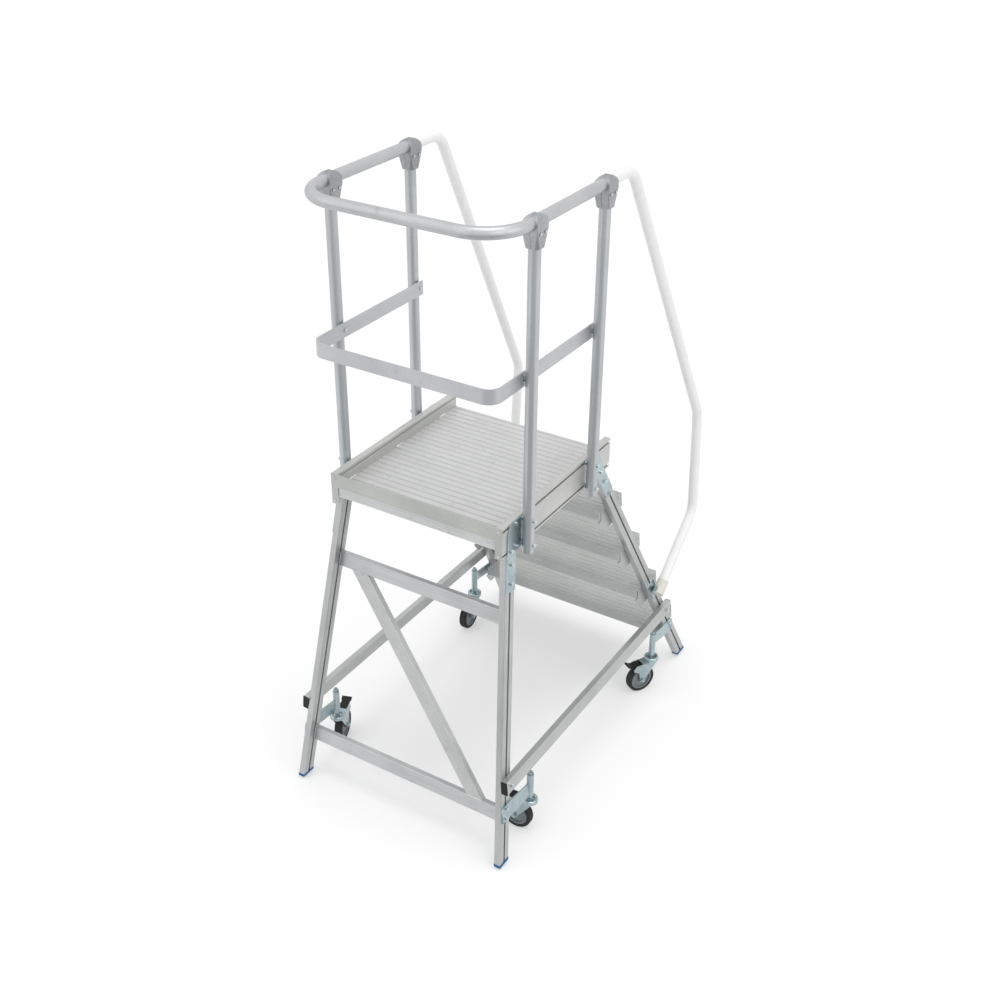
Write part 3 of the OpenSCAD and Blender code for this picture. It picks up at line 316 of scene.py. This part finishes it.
def weld_bead(name, start, end, width=0.0055, ripple=0.0034, material=weld_metal):
    """A closed bead between two points, laid in overlapping ripples that swell and narrow along it."""
    bead_sides = 8
    ripple_steps = 4
    least_steps = 6
    ripple_depth = 0.1
    end_width = 0.45
    run = end - start
    steps = max(least_steps, ripple_steps * round(run.length / ripple))
    bm = bmesh.new()
    bmesh.ops.create_circle(bm, cap_ends=True, segments=bead_sides, radius=width / 2)
    bmesh.ops.spin(bm, geom=bm.verts[:] + bm.edges[:] + bm.faces[:], cent=(0, 0, 0), axis=(0, 0, 1),
                   dvec=(0, 0, run.length / steps), angle=0.0, steps=steps)
    for vert in bm.verts:
        from_end = min(vert.co.z, run.length - vert.co.z)
        swell = 1.0 - ripple_depth + ripple_depth * math.cos(2 * math.pi * vert.co.z / ripple)
        taper = min(1.0, end_width + (1.0 - end_width) * from_end / width)
        vert.co.xy *= swell * taper
    bmesh.ops.recalc_face_normals(bm, faces=bm.faces[:])
    along_run = run.to_track_quat("Z", "Y").to_matrix().to_4x4()
    bmesh.ops.transform(bm, matrix=Matrix.Translation(start) @ along_run, verts=bm.verts[:])
    for face in bm.faces:
        face.smooth = True
    piece = finished(bm, name, material)
    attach(piece, "frame")


# Each direction leans a little to one side, so that it picks a single corner of the tube's end.
for brace in ("upper_brace", "lower_brace"):
    for side, sign in (("left", -1), ("right", 1)):
        weld_bead(f"weld_{brace}_{side}_front",
                  corner(brace, (sign, -1, -0.8)), corner(brace, (sign, -1, 0.8)))
        weld_bead(f"weld_{brace}_{side}_top",
                  corner(brace, (sign, -0.8, 1)), corner(brace, (sign, 0.8, 1)))
for end_name, up in (("high", 1), ("low", -1)):
    weld_bead(f"weld_diagonal_{end_name}",
              corner("diagonal_brace", (-0.5, -1, up)), corner("diagonal_brace", (0.5, -1, up)))


# Platform
# Tall slotted side rails with a deck of ribbed hollow planks between them, and a thin toe board in front.
# Three short beads on each side hold the planks, and screws hold the toe board to the rail ends.
# Rib tops get a faint painted shade tint, and the groove floors a painted grey shade. Rails and toe board
# show faint die lines.
rail_metal = metal("mill_aluminium_rail", "#C4C5C2", "#B6B7B4", 0.4, "Y", die_line_mm, metallic=0.4)
toe_metal = metal("mill_aluminium_toe", "#BDBFBC", "#AEB0AE", 0.4, "X", die_line_mm)
dress(rail_metal, "side_rail_left", "side_rail_right")
dress(toe_metal, "toe_board", "deck_beams")

deck_low, deck_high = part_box("deck_planks")
deck_ribs = 25
deck_line_mm = 3.0
deck_pitch = (deck_high[1] - deck_low[1]) / deck_ribs
# The last two colours are a painted shade tint on upper faces and a painted grey shade in the grooves.
deck_metal = metal("ribbed_deck_aluminium", "#D2D3D4", "#C5C6C7", 0.45, "X", deck_line_mm, metallic=0.3,
                   ribs=(deck_pitch, deck_low[1], "#FAFAF8", "#BEBEBC"))
dress(deck_metal, "deck_planks")

deck_bead_length = 0.046
deck_bead_width = 0.011
deck_bead_ripple = 0.0055
deck_bead_places = (0.12, 0.5, 0.88)
half_bead = Vector((0.0, deck_bead_length / 2, 0.0))
for side, deck_edge in (("left", deck_low[0]), ("right", deck_high[0])):
    for number, share in enumerate(deck_bead_places, 1):
        middle = Vector((deck_edge, deck_low[1] + share * (deck_high[1] - deck_low[1]), deck_high[2]))
        weld_bead(f"weld_deck_{side}_{number}", middle - half_bead, middle + half_bead,
                  deck_bead_width, deck_bead_ripple)


# Treads
# Ribbed aluminium extrusion with a hollow nosing in front and a turned-down lip behind.
# Angled gussets bolted inside the stiles carry the ends.
# The groove floors are painted a little paler than the ribs, so that the shade in them stays soft.
tread_count = 4
tread_ribs = 7
tread_wall = 0.003
tread_line_mm = 3.0
for number in range(1, tread_count + 1):
    tread = f"tread_{number}"
    tread_back, tread_nose = (point[1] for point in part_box(tread))
    tread_pitch = (tread_nose - tread_back - 2 * tread_wall) / tread_ribs
    # The base is painted darker than the deck's, as shade under the platform, and rib tops get a painted
    # shade tint.
    tread_metal = metal(f"ribbed_{tread}_aluminium", "#B9BBBA", "#AAACAB", 0.45, "X", tread_line_mm,
                        metallic=0.4, ribs=(tread_pitch, tread_back + tread_wall, "#FAFAF9", "#C6C8C7"))
    dress(tread_metal, tread)
dress(leg_metal, "tread_gussets")


# Guard tubes and knee rail
# Round drawn aluminium tube for the uprights and the bent top rail, flat bar for the knee rail, all bare.
# Bolts with spacer sleeves hold the uprights to the side rails and the knee rail to the uprights.
# Fine drawing lines give the tube long soft highlights, and the flat bar an even satin grey.
draw_line_mm = 3.0
tube_metal = metal("drawn_tube", "#BFC3C6", "#B1B6B9", 0.38, "Z", draw_line_mm)
guard_metal = metal("bent_tube", "#BEBFC1", "#B0B1B3", 0.4, "X", draw_line_mm, metallic=0.65)
knee_metal = metal("flat_bar", "#C1C3C6", "#B2B4B7", 0.36, "Y", draw_line_mm, metallic=0.5)
dress(tube_metal, "front_uprights", "rear_uprights")
dress(guard_metal, "top_rail")
dress(knee_metal, "knee_rail")


# Rail clamps
# Die-cast aluminium in two halves, bolted together round the top rail and the head of each upright.
# Tumbling leaves an even grey with small soft clouds, and no direction to its shine.
cast_cloud_mm = 5.0
cast_metal = metal("die_cast_aluminium", "#B0B2B4", "#8F9194", 0.36, "Z", cast_cloud_mm, stretch=1.0)
dress(cast_metal, "rail_clamps")


# Plastic caps and sockets
# Foot caps, end caps of the side bars and handrail sockets, moulded in polyamide and pushed into place.
# A fine spark-eroded grain gives them a soft sheen without clear reflections.
def moulded(name, base, worn, rough, grain_mm=1.2, gloss=0.5):
    """Moulded plastic, rubber or a baked coat: an even colour with faint scuffs and a fine grain.

    The grain is drawn coarser than a real one, so that it shows.
    """
    made = blank(name)
    tree = made.node_tree
    place = add(tree, "ShaderNodeTexCoord").outputs["Object"]

    scuff_mm = 25.0
    scuff_low, scuff_high = 0.5, 0.75
    scuff = add(tree, "ShaderNodeTexNoise", {
        "Vector": place, "Scale": 1000.0 / scuff_mm, "Detail": 5.0, "Roughness": 0.65})
    wear = add(tree, "ShaderNodeMapRange", {
        "Value": scuff.outputs["Fac"], "From Min": scuff_low, "From Max": scuff_high})
    colour = add(tree, "ShaderNodeMix", data_type="RGBA", sockets={
        0: wear.outputs[0], 6: linear(base), 7: linear(worn)})

    duller, shinier = 0.1, 0.06
    grain_depth = 0.0003
    dull = add(tree, "ShaderNodeMapRange", {
        "Value": scuff.outputs["Fac"], "To Min": rough - shinier, "To Max": rough + duller})
    grain = add(tree, "ShaderNodeTexNoise", {"Vector": place, "Scale": 1000.0 / grain_mm, "Detail": 2.0})
    bump = add(tree, "ShaderNodeBump", {
        "Height": grain.outputs["Fac"], "Strength": 0.15, "Distance": grain_depth})
    skin = add(tree, "ShaderNodeBsdfPrincipled", {
        "Base Color": colour.outputs[2], "Roughness": dull.outputs[0], "Normal": bump.outputs[0],
        "IOR": 1.5, "Specular IOR Level": gloss})
    add(tree, "ShaderNodeOutputMaterial", {"Surface": skin.outputs[0]})
    return made


blue_plastic = moulded("blue_polyamide", "#10508A", "#2A6AA0", 0.6, gloss=0.3)
cream_plastic = moulded("cream_polyamide", "#D3D2CA", "#C7C5BB", 0.5)
black_plastic = moulded("black_polyamide", "#141517", "#232427", 0.5, gloss=0.25)
dress(blue_plastic, "foot_caps")
dress(cream_plastic, "handrail_sockets")
dress(black_plastic, "bar_end_caps")


# Handrails
# Steel tube, bent in one length from the end of the top rail down to a clip on the stile.
# A smooth powder coat gives an even white with a soft, broad shine.
coat_grain_mm = 2.0
white_coat = moulded("white_powder_coat", "#E8E8E8", "#E2E2E2", 0.3, coat_grain_mm)
dress(white_coat, "handrail_left", "handrail_right")


# Plates, spacers and bolts
# Pressed steel plates join legs and stiles to the side rails, with sleeves as spacers and hexagon bolts.
# Bright zinc plate keeps a cool green-grey tint and a faint cloudy bloom, and the bolt heads shine most.
zinc_cloud_mm = 16.0
bolt_cloud_mm = 6.0
zinc = metal("bright_zinc", "#B0BEC1", "#98A9AE", 0.28, "Z", zinc_cloud_mm, stretch=1.6)
bolt_zinc = metal("bolt_zinc", "#CFD7D9", "#B4BFC2", 0.2, "Z", bolt_cloud_mm, stretch=1.0)
dress(zinc, "bracket_plates", "spacers")
dress(bolt_zinc, "bolts")


# Castors
# Zinc-plated arms, stems and forks, a soft grey rubber tyre on a moulded hub, and a black brake pedal.
# The arm plate is welded to its spring tube along both faces.
# The tyre is matt and nearly black, the hub a satin mid grey.
def stem_axis(place):
    """The middle of a castor's stem, on the axis that it slides along."""
    low, high = (Vector(point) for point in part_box(f"stem_{place}"))
    return (low + high) / 2


tyre_rubber = moulded("grey_rubber", "#242526", "#313233", 0.6, gloss=0.25)
hub_plastic = moulded("grey_hub", "#6F767A", "#7F868A", 0.45)
castor_places = ("fl", "fr", "rl", "rr")
# The plate leans with the splay of the legs, so that each seam drifts across the tube as it rises.
spring_tube_r = 0.013
arm_half_t = 0.0025
arm_splay = 0.0952
arm_bead_width = 0.004
arm_bead_ripple = 0.003
seam_margin = 0.013
front_seam_drop = 0.039
rear_seam_drop = 0.0598
for place in castor_places:
    dress(zinc, f"arm_{place}", f"stem_{place}", f"fork_{place}")
    dress(tyre_rubber, f"tyre_{place}")
    dress(hub_plastic, f"hub_{place}")
    dress(black_plastic, f"pedal_{place}")
    axis = stem_axis(place)
    arm_low, arm_high = (point[2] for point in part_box(f"arm_{place}"))
    arm_middle = (arm_low + arm_high) / 2
    outward = 1 if place[1] == "r" else -1
    if place[0] == "f":
        plate_side = -1
        seam = (arm_low + seam_margin, arm_high - front_seam_drop)
    else:
        plate_side = 1
        seam = (arm_high - rear_seam_drop, arm_high - seam_margin)
    for face_name, face_sign in (("outer", 1), ("inner", -1)):
        ends = []
        for z in seam:
            off = outward * (arm_splay * (arm_middle - z) + face_sign * arm_half_t)
            reach = plate_side * math.sqrt(spring_tube_r ** 2 - off ** 2)
            ends.append(Vector((axis.x + off, axis.y + reach, z)))
        weld_bead(f"weld_arm_{place}_{face_name}", ends[0], ends[1], arm_bead_width, arm_bead_ripple,
                  zinc)


# Castor springs
# A coil of round drawn wire stands on each stem's collar, inside the spring tube.
# It is attached to the stem and moves with it.
# Drawn spring steel has a dull blue-grey shine.
wire_line_mm = 3.0
wire_r = 0.0012
wire_sides = 10
coil_turns = 6
turn_steps = 24
spring_wire = metal("spring_wire", "#9AA3AA", "#858E96", 0.3, "Z", wire_line_mm)
for place in castor_places:
    axis = stem_axis(place)
    coil_low, coil_high = (point[2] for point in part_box(f"spring_{place}"))
    spring_points = nodes[f"spring_{place}"].data.vertices
    coil_r = max((v.co.xy - axis.xy).length for v in spring_points) - wire_r
    steps = coil_turns * turn_steps
    wire_start = Matrix.Translation((coil_r, 0, 0)) @ Matrix.Rotation(math.pi / 2, 4, "X")
    bm = bmesh.new()
    bmesh.ops.create_circle(bm, cap_ends=True, segments=wire_sides, radius=wire_r, matrix=wire_start)
    bmesh.ops.spin(bm, geom=bm.verts[:] + bm.edges[:] + bm.faces[:], cent=(0, 0, 0), axis=(0, 0, 1),
                   dvec=(0, 0, (coil_high - coil_low - 2 * wire_r) / steps),
                   angle=2 * math.pi * coil_turns, steps=steps)
    bmesh.ops.recalc_face_normals(bm, faces=bm.faces[:])
    bmesh.ops.translate(bm, vec=(axis.x, axis.y, coil_low + wire_r), verts=bm.verts[:])
    for face in bm.faces:
        face.smooth = True
    coil = finished(bm, f"coil_{place}", spring_wire)
    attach(coil, f"stem_{place}")
    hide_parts(f"spring_{place}")
    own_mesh(coil)
